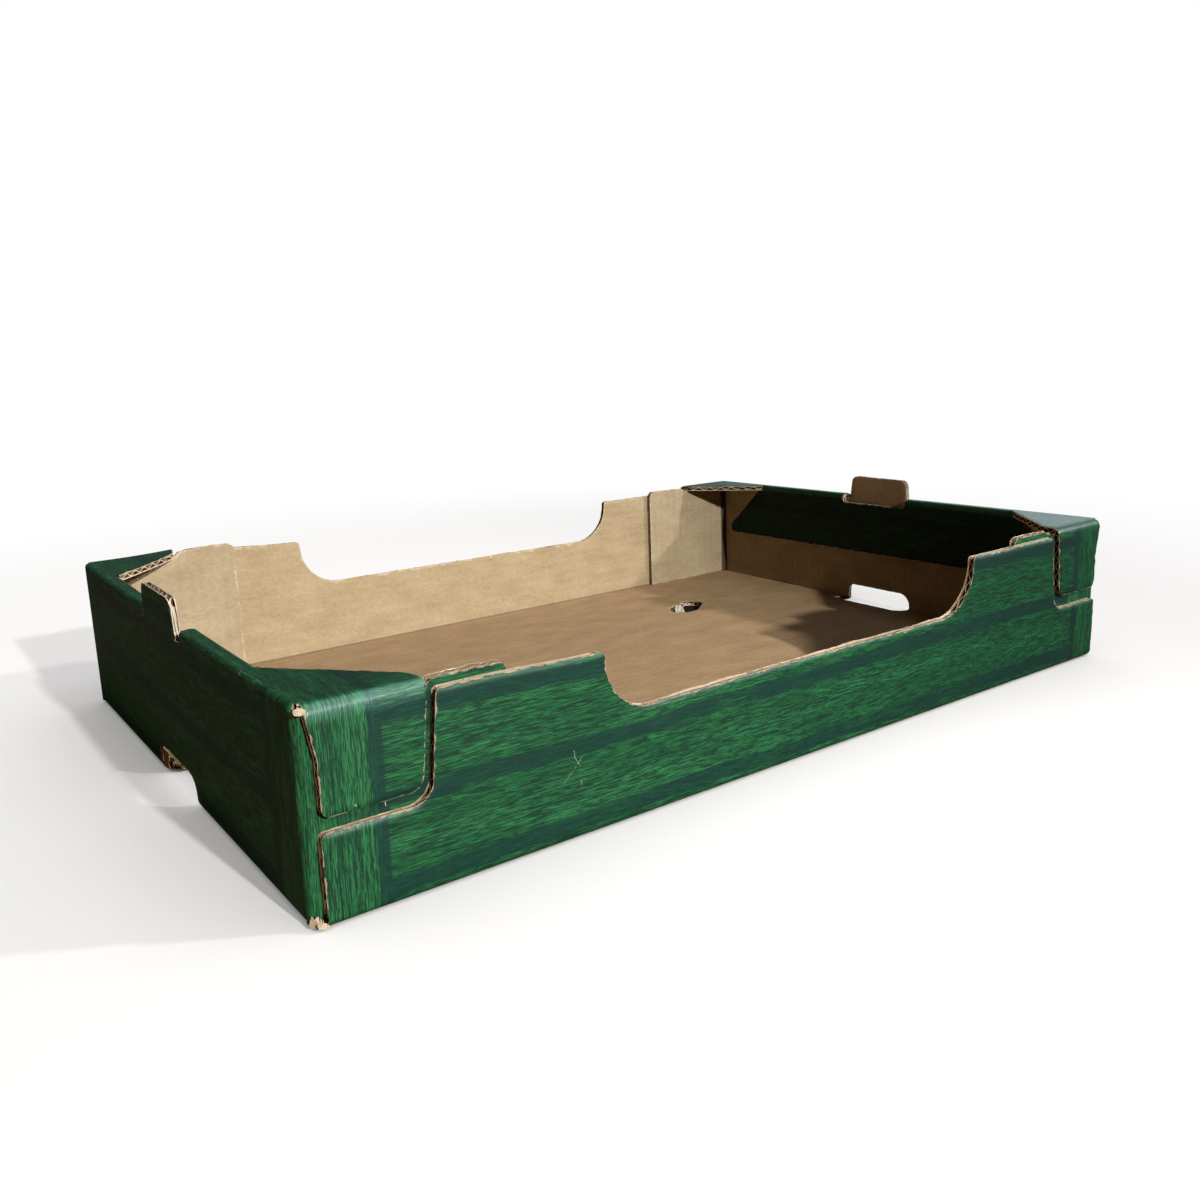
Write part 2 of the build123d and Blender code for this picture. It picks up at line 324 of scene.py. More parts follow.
# %% Ragged cut edges
def cut_edges(outlines, across, rows, lift, torn):
    """The ragged outlines of a sheet, the outer one first, with the board's state along them."""
    edges = []
    for k, corners in enumerate(outlines):
        line, cut = die_line(corners, rows)
        turn = np.roll(line, -1, axis=0)
        area = np.sum(line[:, 0] * turn[:, 1] - line[:, 1] * turn[:, 0])
        if (area > 0) == (k > 0):
            line = line[::-1]
            cut = np.roll(cut[::-1], -1)
        tangent = np.roll(line, -1, axis=0) - np.roll(line, 1, axis=0)
        tangent /= np.linalg.norm(tangent, axis=1)[:, None]
        inward = np.column_stack([-tangent[:, 1], tangent[:, 0]])
        loose = cut & np.roll(cut, 1)
        shut = (1 - np.abs(across(line + tangent) - across(line - tangent)) / 2) ** 2
        size = len(line)
        line += inward * np.where(loose, np.abs(ragged(size, 0.12 * torn)) + 0.02, 0)[:, None]
        low = np.where(loose, 0.3 + 0.8 * shut + ragged(size, 0.1), 0).clip(0, 1.8)
        under = np.where(loose, 0.12 + 0.3 * shut + ragged(size, 0.05), 0).clip(0, 0.6)
        rise = np.where(loose, lift(line) * (1 + ragged(size, 0.05)), 0).clip(0, 2.2)
        edges.append(SimpleNamespace(line=line, cut=cut, inward=inward, loose=loose, shut=shut,
                                     low=low, under=under, rise=rise))
    return edges


# %% [markdown]
# ## Filling the outline
# A constrained Delaunay triangulation fills the outline and leaves the holes open. Two rings
# of points along each cut keep the triangles there small, so that the scuffed edge is drawn
# sharply. Chains of points along the fold's rows let the sheet bend only where it should.

# %% Filled outlines
def filled(edges, rows, grid):
    """Flat points, triangles, and each point's number along the outlines, or -1 inside."""
    loops = [e.line for e in edges]
    edge = np.concatenate(loops)
    ring = np.concatenate([(e.line + inset * e.inward)[e.loose & (np.arange(len(e.line)) % step == 0)]
                           for e in edges for inset, step in ((1.7, 2), (3.4, 3))])
    lo, hi = edge.min(0), edge.max(0)
    us = np.arange(lo[0] + grid / 2, hi[0], grid)
    vs = np.arange(lo[1] + grid / 2, hi[1], grid)
    field = np.stack(np.meshgrid(us, vs), -1).reshape(-1, 2)
    field = np.concatenate([field[inside(field, loops)], ring[inside(ring, loops)]])
    gaps = np.array([np.min(np.sum((edge - s) ** 2, axis=1)) for s in field])
    spots = np.concatenate([edge, field[gaps > 1.2 ** 2]])
    links, start = [], 0
    for line in loops:
        ids = np.arange(len(line)) + start
        links += np.column_stack([ids, np.roll(ids, -1)]).tolist()
        start += len(line)
    for axis in (0, 1):
        for row in rows[axis]:
            ends = np.array([lo - 1, hi + 1])
            ends[:, axis] = row
            cells = np.arange(0, 1.0001, grid / 2 / np.linalg.norm(ends[1] - ends[0]))
            chain = ends[0] + (ends[1] - ends[0]) * cells[:, None]
            links += [[len(spots) + k, len(spots) + k + 1] for k in range(len(chain) - 1)]
            spots = np.concatenate([spots, chain])
    made = delaunay_2d_cdt([Vector(s) for s in spots], links, [], 0, 1e-5)
    flat = np.array([tuple(s) for s in made[0]])
    tris = np.array([f for f in made[2] if len(f) == 3])
    tris = tris[inside(flat[tris].mean(1), loops)]
    used, tris = np.unique(tris, return_inverse=True)
    at_edge = [next((s for s in made[3][k] if s < len(edge)), -1) for k in used]
    return flat[used], tris.reshape(-1, 3), at_edge


# %% [markdown]
# ## Open flutes
# Narrow ribbons of faces run along each cut: the printed liner's edge, the hollow behind it,
# the bare liner's edge, and the wavy medium in the hollow. The wave follows the flat
# coordinate across the flutes, so a slanted or curved cut stretches it just as it does on the
# real board. Where the rule ran along the flutes the board is crushed shut, so the hollow is
# shallow there and shows pale torn paper.

# %% Open flutes
PRINT, KRAFT, EDGE, MEDIUM, SCRAP = range(5)
medium_thick = 0.7


def cut_runs(cut):
    """Runs of points along the cut parts of a closed outline."""
    order = np.arange(len(cut))
    if not cut.all():
        order = np.roll(order, -int(np.argmax(~cut)) - 1)
    runs, run = [], []
    for i in order:
        run.append(i)
        if not cut[i]:
            runs.append(run)
            run = []
    if run:
        runs.append(run + [order[0]])
    return [np.array(run) for run in runs if len(run) > 1]


def open_flutes(edge, across, torn, add):
    """Adds the liners' edges, the hollow and the wavy medium along one outline."""
    swing = board / 2 - liner - medium_thick / 2
    for ids in cut_runs(edge.cut):
        p, n, d, e = edge.line[ids], edge.inward[ids], edge.low[ids], edge.under[ids]
        q = p - n * edge.rise[ids][:, None]
        size = len(ids)
        flaw = [np.abs(ragged(size, 0.2 * torn))[:, None] for _ in range(3)]
        # 4 mm deep where the flutes are open, and 0.7 mm where they are crushed shut
        hollow = (4.0 - 3.3 * edge.shut[ids] + np.abs(ragged(size, 0.12)))[:, None]
        deep, half = p + hollow * n, p + 0.5 * hollow * n
        crushed = edge.shut[ids][:-1] > 0.35
        back = np.where(crushed, EDGE, MEDIUM)
        lip_back = np.where(crushed & (edge.rise[ids][:-1] > 0.3), EDGE, MEDIUM)
        quads = np.arange(size - 1)
        quads = np.column_stack([quads, quads + 1, quads + size + 1, quads + size])

        def ribbon(row_a, w_a, row_b, w_b, material, facing, w_facing=board / 2):
            w = np.concatenate([np.broadcast_to(w_a, size), np.broadcast_to(w_b, size)])
            add(np.concatenate([row_a, row_b]), w, quads, material, np.concatenate([facing] * 2),
                w_facing)

        lip, lap = p + flaw[0] * n, q + flaw[1] * n
        ribbon(p, d, lip, d + liner, EDGE, p - n)
        ribbon(lip, d + liner, deep, liner, MEDIUM, half)
        ribbon(deep, liner, deep, board - liner, back, p)
        ribbon(deep, board - liner, lap, board - e - liner, lip_back, half)
        ribbon(lap, board - e - liner, q, board - e, EDGE, q - n)
        rows_in = [p + np.minimum(0.12 + flaw[2], hollow / 3) * n, half, deep]
        middle = [(board + d - e) / 2, board / 2, board / 2]
        squash = [1 - (d + e) / (board - 2 * liner), 1.0, 1.0]
        wave = [m + swing * s * np.cos(2 * math.pi * across(r) / flute_pitch)
                for r, s, m in zip(rows_in, squash, middle)]
        near, far = -medium_thick / 2, medium_thick / 2
        ribbon(rows_in[0], wave[0] + near, rows_in[0], wave[0] + far, EDGE, p - n)
        for k in (0, 1):
            for skin, w_facing in ((far, board + 1), (near, -1.0)):
                ribbon(rows_in[k], wave[k] + skin, rows_in[k + 1], wave[k + 1] + skin,
                       MEDIUM, half, w_facing)


# %% [markdown]
# ## One sheet of board
# `board_sheet` puts the steps together: two skins, and the open flutes along each cut edge.
# Each group of faces is turned to face the side that it is seen from.

# %% Board
def no_lift(spots):
    return np.zeros(len(spots))


def board_sheet(name, outline, fold, across, to_print, holes=(), rows=((), ()), grid=12.0,
                lift=no_lift, torn=1.0):
    """A folded sheet of board as one mesh: skins, cut edges and the flutes behind them.

    lift says how far the bare liner stands out beyond the printed one at a cut, and torn
    makes the whole outline that many times as ragged as a clean cut.
    """
    edges = cut_edges([outline, *holes], across, rows, lift, torn)
    flat, tris, at_edge = filled(edges, rows, grid)
    down, upward, shift = (
        np.append(np.concatenate(values), [values[0][0] * 0], axis=0)[at_edge]
        for values in ([e.low for e in edges], [e.under for e in edges],
                       [-e.inward * e.rise[:, None] for e in edges])
    )
    cut_spots = np.concatenate([e.line[e.loose] for e in edges])
    gap = np.array([np.min(np.sum((cut_spots - s) ** 2, axis=1)) ** 0.5 for s in flat])
    parts = []

    def place(spot, depth):
        return fold(spot[:, 0], spot[:, 1], np.broadcast_to(depth, len(spot)).astype(float))

    def add(spot, depth, faces, material, facing_spot, facing_depth, wear=0.0):
        """Keeps one group of faces, turned to face the side that is asked for."""
        here = place(spot, depth)
        facing = place(facing_spot, facing_depth) - here
        a, b, c = (here[faces[:, k]] for k in range(3))
        normal = np.cross(b - a, c - a)
        if faces.shape[1] == 4:
            normal = np.cross(c - a, here[faces[:, 3]] - b)
        wrong = np.sum(normal * facing[faces[:, 0]], axis=1) < 0
        if faces.shape[1] == 4:
            wrong[:] = wrong.mean() > 0.5
        faces = np.where(wrong[:, None], faces[:, ::-1], faces)
        parts.append((here, faces, material, spot, np.broadcast_to(wear, len(spot))))

    add(flat, down, tris, PRINT, flat, -1.0, gap)
    add(flat + shift, board - upward, tris, KRAFT, flat, board + 1.0, gap)
    for edge in edges:
        open_flutes(edge, across, torn, add)
    return mesh_piece(name, parts, to_print, across)


# %% [markdown]
# ## From groups of faces to a Blender object
# All groups go into one mesh, with a material number for each face. Three UV maps carry what
# the materials need, in metres: `print` holds the place on the printed sheet, `corner` holds
# the distance to the nearest upright corner and the place across the flutes, and `wear` holds
# the distance to the nearest cut edge, where the ink is scuffed off.

# %% Mesh making
def mesh_piece(name, parts, to_print, across):
    spots, faces, kinds, start = [], [], [], 0
    for here, group, material, flat, wear in parts:
        spots.append(here)
        faces += (group + start).tolist()
        kinds += np.broadcast_to(material, len(group)).tolist()
        start += len(here)
    flat = np.concatenate([p[3] for p in parts])
    wear = np.concatenate([p[4] for p in parts])
    mesh = bpy.data.meshes.new(name)
    mesh.from_pydata((settled(np.concatenate(spots)) * 0.001).tolist(), [], faces)
    mesh.polygons.foreach_set("material_index", kinds)
    u, v, corner = to_print(flat)
    corners = np.empty(len(mesh.loops), int)
    mesh.loops.foreach_get("vertex_index", corners)
    for layer, pair in (
        ("print", (u, v)), ("corner", (corner, across(flat))), ("wear", (wear, wear * 0)),
    ):
        values = np.column_stack(pair)[corners] * 0.001
        mesh.uv_layers.new(name=layer).data.foreach_set("uv", values.ravel())
    mesh.shade_smooth()
    mesh.set_sharp_from_angle(angle=math.radians(38))
    piece = bpy.data.objects.new(name, mesh)
    bpy.context.scene.collection.objects.link(piece)
    for finish in sheet_finishes:
        mesh.materials.append(finish)
    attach(piece, "root")
    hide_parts("tray")
    print(name, len(faces), "faces")
    return piece


# %% [markdown]
# ## Colours and nodes
# Colours are written as they are seen on a screen, as hex values, and turned to linear light
# by one function. One more function adds a node, sets it, links it and gives its output, so
# that each material below reads as a list of what it does. All papers start from the same
# places on the sheet, which `sheet_places` reads from the UV maps.

# %% Colour and node helpers
def linear(hex_colour):
    """An sRGB hex colour as linear red, green, blue and alpha."""
    values = [int(hex_colour[i:i + 2], 16) / 255 for i in (1, 3, 5)]
    return [v / 12.92 if v <= 0.04045 else ((v + 0.055) / 1.055) ** 2.4 for v in values] + [1.0]


def node(tree, kind, inputs=(), out=0, **settings):
    """Adds a node with its settings, and gives one of its outputs, or all of them for None.

    inputs holds values or links, as a list in the sockets' order or as a dictionary.
    """
    made = tree.nodes.new("ShaderNode" + kind)
    for key, value in settings.items():
        setattr(made, key, value)
    for socket, value in inputs.items() if isinstance(inputs, dict) else enumerate(inputs):
        if isinstance(value, bpy.types.NodeSocket):
            tree.links.new(value, made.inputs[socket])
        else:
            made.inputs[socket].default_value = value
    return made.outputs if out is None else made.outputs[out]


def new_material(name):
    material = bpy.data.materials.new(name)
    material.use_nodes = True
    material.node_tree.nodes.clear()
    return material, material.node_tree


def sheet_places(tree):
    """Place on the print, its x and height, distance to a corner, flutes' wave, distance to a cut."""
    place = node(tree, "UVMap", uv_map="print")
    x, height, _ = node(tree, "SeparateXYZ", [place], None)
    corner, flutes, _ = node(tree, "SeparateXYZ", [node(tree, "UVMap", uv_map="corner")], None)
    wear = node(tree, "SeparateXYZ", [node(tree, "UVMap", uv_map="wear")])
    wave = node(tree, "Math", [flutes, 2 * math.pi * 1000 / flute_pitch], operation="MULTIPLY")
    wave = node(tree, "Math", [wave], operation="SINE")
    return place, x, height, corner, wave, wear


smooth = {"interpolation_type": "SMOOTHSTEP"}
rgb = {"data_type": "RGBA"}
print("the print's green in linear light", [round(v, 3) for v in linear("#255f35")])

# %% [markdown]
# ## Grain of the print
# The outside liner carries a flexographic print in a common wood-grain pattern of boards with
# darker joints, one `plank` apart. The pattern is three noises stretched along the grain: broad
# streaks, narrow streaks and short dark pores, which drift with the figure of the wood. Within
# `post_edge` of the upright corners the boards run upwards, so along and across change places
# there. The finest marks are 0.3 to 0.5 mm wide, as on the real print.

# %% Grain of the print
plank = 0.0386
post_edge = 0.0335


def stretched(tree, grain, along_mm, across_mm, detail=2.0, distortion=0.0, seed=7.3):
    """The print's streaks: marks about this long and wide, in millimetres."""
    scaled = node(tree, "Mapping", {0: grain, 1: (seed, seed, seed),
                                    3: (1000 / along_mm, 1000 / across_mm, 7.3)})
    return node(tree, "TexNoise", {"Vector": scaled, "Scale": 1.0, "Detail": detail,
                                   "Roughness": 0.55, "Distortion": distortion})


def wood_pores(tree, grain):
    """Narrow streaks and short dark pores together, and the short ones alone."""
    figure = node(tree, "Math", [stretched(tree, grain, 30, 3.0, 2.0, 0.6), 0.14, -0.07],
                  operation="MULTIPLY_ADD")
    pores = []
    for marks, low, high in (((15, 0.46, 2.0, 0.3, 3.1), 0.496, 0.530),
                             ((6.5, 0.34, 1.0, 0.3, 11.7), 0.505, 0.545)):
        noise = node(tree, "Math", [stretched(tree, grain, *marks), figure], operation="ADD")
        pores.append(node(tree, "MapRange", [noise, low, high], **smooth))
    long_pores, short_pores = pores
    fainter = node(tree, "Math", [short_pores, 0.9], operation="MULTIPLY")
    return node(tree, "Math", [long_pores, fainter], operation="MAXIMUM"), short_pores


def wood_joints(tree, grain, height, corner, upright):
    """Joints between the printed boards, which wander by 3 mm and are ragged by 1.5 mm."""
    joint = node(tree, "Math", [stretched(tree, grain, 120, 80), 0.006, height],
                 operation="MULTIPLY_ADD")
    joint = node(tree, "Math", [stretched(tree, grain, 22, 1.6), 0.003, joint],
                 operation="MULTIPLY_ADD")
    joint = node(tree, "Math", [joint, 0.014], operation="SUBTRACT")
    joint = node(tree, "Math", [joint, plank / 2], operation="PINGPONG")
    joint = node(tree, "MapRange", [joint, 0.0033, 0.0052, 1.0, 0.0], **smooth)
    faint = stretched(tree, grain, 70, 30, 1.0, 0.0, 5.0)
    faint = node(tree, "MapRange", [faint, 0.2, 0.45, 0.35, 1.0], **smooth)
    lying = node(tree, "Math", [1.0, upright], operation="SUBTRACT")
    for factor in (faint, lying):
        joint = node(tree, "Math", [joint, factor], operation="MULTIPLY")
    post = node(tree, "Math", [corner, post_edge], operation="SUBTRACT")
    post = node(tree, "Math", [post], operation="ABSOLUTE")
    post = node(tree, "MapRange", [post, 0.0024, 0.0036, 1.0, 0.0], **smooth)
    return node(tree, "Math", [joint, post], operation="MAXIMUM")


print("printed boards are", plank * 1000, "mm wide")

# %% [markdown]
# ## Painted light on the ink
# Washes over the ink paint light and shade into its colour. Painted shade darkens and cools the
# base and the platforms towards the right end, darkens the tops of the rim strips and platforms,
# and darkens the hanging flaps most of all. A painted highlight, with a little pale rubbed ink,
# lies along the upper fold of the front left platform. The ends' print is drawn `end_print`
# millimetres to the right, so that a material can tell them from the base and the platforms,
# which lie left of `ends_from` metres.

# %% Painted light on the ink
end_print = 1450.0
ends_from = 1.0


def painted_light_on_ink(tree, colour, pores, x, height, corner):
    """The ink under washes of painted shade and a painted highlight, and how far a point is on a hanging
    flap.
    """
    own = node(tree, "Math", [x, ends_from], operation="LESS_THAN")
    # painted shade: the print darkens and cools towards the right end of the base and the platforms,
    # where less light falls
    right = node(tree, "MapRange", [x, -0.16, 0.24], **smooth)
    right = node(tree, "Math", [right, own], operation="MULTIPLY")
    # painted shade on the tops of the rim strips and the platforms
    strip = node(tree, "MapRange", [height, 0.1000, 0.1040], **smooth)
    # painted shade on the hanging flaps of the ends, the darkest wash
    flap = node(tree, "MapRange", [height, 0.1080, 0.1115], **smooth)
    on_end = node(tree, "Math", [1.0, own], operation="SUBTRACT")
    flap = node(tree, "Math", [flap, on_end], operation="MULTIPLY")
    # painted highlight along the upper fold of the front left platform, with a little pale rubbed ink; it
    # is paler between the pores
    fold_highlight_and_rubbing = node(tree, "MapRange", [pores, 0.0, 1.0, 0.13, 0.06], **smooth)
    for factor in (
        own,
        node(tree, "Math", [corner, 0.0575], operation="LESS_THAN"),
        node(tree, "MapRange", [x, -0.10, -0.20], **smooth),
        node(tree, "MapRange", [height, 0.0885, 0.0945], **smooth),
        node(tree, "MapRange", [height, 0.0985, 0.1010, 1.0, 0.0], **smooth),
    ):
        fold_highlight_and_rubbing = node(tree, "Math", [fold_highlight_and_rubbing, factor], operation="MULTIPLY")
    for amount, wash, how in ((right, "#a2d6da", "MULTIPLY"), (strip, "#c4d0c8", "MULTIPLY"),
                              (flap, "#22aa98", "MULTIPLY"), (fold_highlight_and_rubbing, "#8cc8b4", "MIX")):
        colour = node(tree, "Mix", {0: amount, 6: colour, 7: linear(wash)}, 2, blend_type=how, **rgb)
    return colour, flap


# %% [markdown]
# ## The printed liner
# Water-based green ink over brown kraft paper is satin, rougher than plastic, so it only shines
# at a glancing angle and on the folds, and it lies matt on the flap. Its two greens have dark
# pores and blue-black joints. Along the cut edges the ink is scuffed off and torn paper shows.
# The flutes show through as faint ribs. The paper's own tooth is finer than a render can show,
# so it is drawn 0.6 mm coarse.

# %% Printed liner
def printed_liner():
    material, tree = new_material("flexo_printed_kraft_liner")
    place, x, height, corner, wave, wear = sheet_places(tree)
    upright = node(tree, "Math", [corner, post_edge], operation="LESS_THAN")
    grain_x = node(tree, "Mix", {0: upright, 2: x, 3: height})
    grain_y = node(tree, "Mix", {0: upright, 2: height, 3: x})
    grain = node(tree, "CombineXYZ", [grain_x, grain_y, upright])
    pores, short_pores = wood_pores(tree, grain)
    joint = wood_joints(tree, grain, height, corner, upright)

    broad = stretched(tree, grain, 110, 13, 2.0, 0.5)
    broad = node(tree, "MapRange", [broad, 0.36, 0.64], **smooth)
    colour = node(tree, "Mix", {0: broad, 6: linear("#1b522b"), 7: linear("#255f35")}, 2, **rgb)
    amount = node(tree, "Math", [pores, 0.94], operation="MULTIPLY")
    colour = node(tree, "Mix", {0: amount, 6: colour, 7: linear("#062217")}, 2, **rgb)
    seam = node(tree, "Mix", {0: pores, 6: linear("#0f2e27"), 7: linear("#08251e")}, 2, **rgb)
    amount = node(tree, "Math", [joint, 0.88], operation="MULTIPLY")
    colour = node(tree, "Mix", {0: amount, 6: colour, 7: seam}, 2, **rgb)
    # washes of painted shade and a painted highlight over the ink; flap marks where the hanging flap's
    # painted shade lies
    colour, flap = painted_light_on_ink(tree, colour, pores, x, height, corner)

    scuffed = node(tree, "Math", [stretched(tree, grain, 5.0, 5.0, 3.0, 0.0, 21.0), 0.0036, wear],
                   operation="MULTIPLY_ADD")
    scuffed = node(tree, "MapRange", [scuffed, 0.0019, 0.0022, 1.0, 0.0], **smooth)
    bare = node(tree, "Mix", {0: short_pores, 6: linear("#8a7a63"), 7: linear("#6e5c47")}, 2, **rgb)
    colour = node(tree, "Mix", {0: scuffed, 6: colour, 7: bare}, 2, **rgb)

    rib = node(tree, "Math", [wave, 0.4], operation="MULTIPLY")
    tooth = node(tree, "TexNoise", {"Vector": place, "Scale": 1600.0, "Detail": 2.0})
    relief = node(tree, "Math", [tooth, 0.35, rib], operation="MULTIPLY_ADD")
    bump = node(tree, "Bump", {"Strength": 0.55, "Distance": 0.00008, "Height": relief})
    dull = node(tree, "Math", [pores, 0.25], operation="MULTIPLY")
    dull = node(tree, "Math", [scuffed, dull], operation="MAXIMUM")
    roughness = node(tree, "MapRange", [dull, 0.0, 1.0, 0.40, 0.85], **smooth)
    gloss = node(tree, "Math", [flap, -0.20, 0.28], operation="MULTIPLY_ADD")
    ink = node(tree, "BsdfPrincipled", {"Base Color": colour, "Roughness": roughness, "IOR": 1.5,
                                        "Normal": bump, "Specular IOR Level": gloss})
    node(tree, "OutputMaterial", [ink], None)
    return material


# %% [markdown]
# ## Bare kraft, the cut edge and the medium
# The inside liner is bare recycled kraft paper: matt, tan, mottled, with fibres a millimetre
# or two long, and the flutes show through it as very faint ribs. Painted shade darkens it along
# the folds at the foot of the walls and in the ends' upright corners, and the floor is painted a
# little browner for the warmer light that falls on it. A cut edge is paler, because the torn
# fibres scatter light, and so are the scraps where a liner was torn through. The fluting medium
# is darker and rougher semi-chemical paper. All four papers are clouds of a few sizes between a
# dark and a light tone, under a list of washes.

# %% Bare papers
def bare_paper(name, dark, light, fleck, roughness, ribs, scale=1.0, burr=0.0):
    material, tree = new_material(name)
    place, x, height, corner, wave, wear = sheet_places(tree)

    def cloud(size_mm, detail, stretch=1.0):
        """The paper's mottle: clouds of this size in millimetres, stretched along the sheet."""
        scaled = node(tree, "Mapping", {0: place, 3: (scale / stretch, scale, 1.0)})
        return node(tree, "TexNoise", {"Vector": scaled, "Scale": 1000 / size_mm,
                                       "Detail": detail, "Roughness": 0.62})

    mottle, specks, fibres, flecks = (
        node(tree, "MapRange", [cloud(*marks), low, high])
        for marks, low, high in (((17, 5.0, 2.0), 0.3, 0.7), ((2.6, 3.0, 1.5), 0.3, 0.7),
                                 ((0.9, 3.0, 3.0), 0.4, 0.72), ((2.1, 2.0, 1.6), 0.64, 0.72))
    )
    ribbed = node(tree, "Math", [wave, ribs, 0.5], operation="MULTIPLY_ADD")
    shade = node(tree, "Math", [specks, 0.6, mottle], operation="MULTIPLY_ADD")
    shade = node(tree, "Math", [shade, 0.45, ribbed], operation="MULTIPLY_ADD")
    shade = node(tree, "MapRange", [shade, 0.56, 1.14])
    tone = node(tree, "Mix", {0: shade, 6: linear(dark), 7: linear(light)}, 2, **rgb)

    # Washes: fibres and flecks, the base's own tone, painted warmth on the floor, painted shade along the
    # folds and in the upright corners, frayed edges
    some_fibres = node(tree, "Math", [fibres, 0.30], operation="MULTIPLY")
    some_flecks = node(tree, "Math", [flecks, 0.35], operation="MULTIPLY")
    own = node(tree, "Math", [x, ends_from], operation="LESS_THAN")
    # painted warmth: the floor is made a little browner for the warmer light that falls on it
    floor = node(tree, "MapRange", [height, -0.012, -0.004, 1.0, 0.0])
    # painted shade in a band along the folds at the foot of the walls
    fold = node(tree, "Math", [height], operation="ABSOLUTE")
    fold = node(tree, "MapRange", [fold, 0.0048, 0.0056, 0.45, 0.0], **smooth)
    # painted shade in the ends' upright corners, where the corner flap folds against the wall
    painted_corner_shade = node(tree, "MapRange", [corner, 0.0062, 0.0084, 0.85, 0.0], **smooth)
    painted_corner_shade = node(tree, "Mix", {0: own, 2: painted_corner_shade, 3: 0.0})
    frayed = node(tree, "Math", [cloud(9.0, 4.0), -0.012, wear], operation="MULTIPLY_ADD")
    frayed = node(tree, "MapRange", [frayed, -0.0062, -0.0054, burr, 0.0])
    for amount, wash, how in (
        (some_fibres, light, "MIX"), (some_flecks, fleck, "MIX"), (own, "#fffcf5", "MULTIPLY"),
        (floor, "#fff2e9", "MULTIPLY"), (fold, "#4a3422", "MIX"), (painted_corner_shade, "#22150c", "MIX"),
        (frayed, "#c9bca8", "MIX"),
    ):
        tone = node(tree, "Mix", {0: amount, 6: tone, 7: linear(wash)}, 2, blend_type=how, **rgb)

    relief = node(tree, "Math", [fibres, 0.5, ribbed], operation="MULTIPLY_ADD")
    bump = node(tree, "Bump", {"Strength": 0.6, "Distance": 0.00012, "Height": relief})
    paper = node(tree, "BsdfPrincipled", {"Base Color": tone, "Roughness": roughness, "IOR": 1.45,
                                          "Normal": bump, "Specular IOR Level": 0.12})
    node(tree, "OutputMaterial", [paper], None)
    return material


kraft = bare_paper("bare_kraft_liner", "#826f55", "#9c8a6f", "#705b47", 0.85, 0.03, burr=0.25)
torn = bare_paper("die_cut_paper_edge", "#8c7962", "#beb09e", "#66503a", 0.95, 0.0, 0.5)
medium = bare_paper("fluting_medium", "#4f3726", "#735840", "#36241a", 0.95, 0.0, 0.5)
scrap = bare_paper("torn_inner_fibres", "#8e8577", "#afa89b", "#665a4e", 0.95, 0.0, 0.5)
sheet_finishes = [printed_liner(), kraft, torn, medium, scrap]
print("finishes", [m.name for m in sheet_finishes])

# %% [markdown]
# ## Base: floor and long sides
# The floor and both long sides are one sheet with two folds. Its outline has the two dips,
# the recesses round the glue tabs, the foot notches for the tabs of the tray below, and one
# ragged vent hole. On the long sides the height above the floor is v less a constant. The
# outline is drawn for a quarter of the sheet and mirrored twice. Each corner has its place,
# its radius, and whether the run after it is a cut edge or only carries on into a fold.

# %% Base
def side_v(z):
    """Flat position of a height on a long side."""
    return side_foot + z


def mirrored(corners, sx, sy):
    """A stretch of an outline mirrored and run backwards, so that it carries the outline on."""
    kinds = [kind for _, _, _, kind in corners[:-1]][::-1] + [True]
    return [(sx * x, sy * y, radius, kind)
            for (x, y, radius, _), kind in zip(corners[::-1], kinds)]


recess_v = side_v(42.3)
dip_v = side_v(58.5)
top_v = side_v(side_top)
front_right = [
    (146.5, -dip_v, 30, True), (146.5, -top_v, 3, True), (237.5, -top_v, 3, True),
    (242.0, -recess_v, 11, True), (293.5, -recess_v, 3, True), (293.5, -191, 0, True),
    (295.5, -191, 0, False), (295.5, -36, 0, True), (283, -36, 10, True),
]
right_half = front_right + mirrored(front_right, 1, -1)
base_outline = right_half + mirrored(right_half, -1, 1)
front_left_foot = base_outline.index((-295.5, -191, 0, True))
base_outline = base_outline[front_left_foot:] + base_outline[:front_left_foot]
vent = [(143, 96, 2, True), (153, 87, 3, True), (166, 88, 3, True), (185.5, 103.5, 4, True),
        (183.5, 113, 3, True), (176, 120, 3, True), (151, 108, 4, True)]
fold_rows = [s[0] for s in base_section if 190 < abs(s[0]) < 207]


def base_lift(spots):
    """The inner liner stands a little proud of the cut, as it does in the dips.

    On the level tops the folded section ends at the cut, so `along` holds the liner back there,
    also near the front left corner, where this asks for the most.
    """
    slow = 0.5 + 0.3 * np.sin(spots[:, 0] / 17) + 0.2 * np.sin(spots[:, 0] / 5.3 + 1)
    bulge = 1.3 * np.exp(-((spots[:, 0] + 212) / 17) ** 2) * (spots[:, 1] < 0)
    return (1.0 * slow + 1.2 * bulge) * ((np.abs(spots[:, 1]) > 250) & (np.abs(spots[:, 0]) < 236))


base = board_sheet(
    "base", base_outline, fold_base,
    across=lambda s: s[:, 1],
    to_print=lambda s: (s[:, 0], np.abs(s[:, 1]) - side_foot, 300 - np.abs(s[:, 0])),
    holes=[vent], rows=((), fold_rows), lift=base_lift,
)

# %% [markdown]
# ## Ends: wall, corner flaps, rim strip and hanging flap
# An end wall turns both upright corners and runs on as flaps inside the long sides. Its top
# rolls over twice, which makes the rim strip and the flap that hangs down inside. The flutes
# stand upright here. The right end is the same end turned by half a turn, but on this tray its
# strip's break beside the stacking tab is narrower, and so is one side of its receptacle.

# %% Ends
def end_lift(spots):
    """The corner flaps' bare liner stands a little proud of their printed one."""
    slow = 0.6 + 0.4 * np.sin(spots[:, 0] / 6.1) * np.sin(spots[:, 0] / 2.3)
    return 0.7 * slow * ((np.abs(spots[:, 0]) > 205) & (spots[:, 1] > 80))


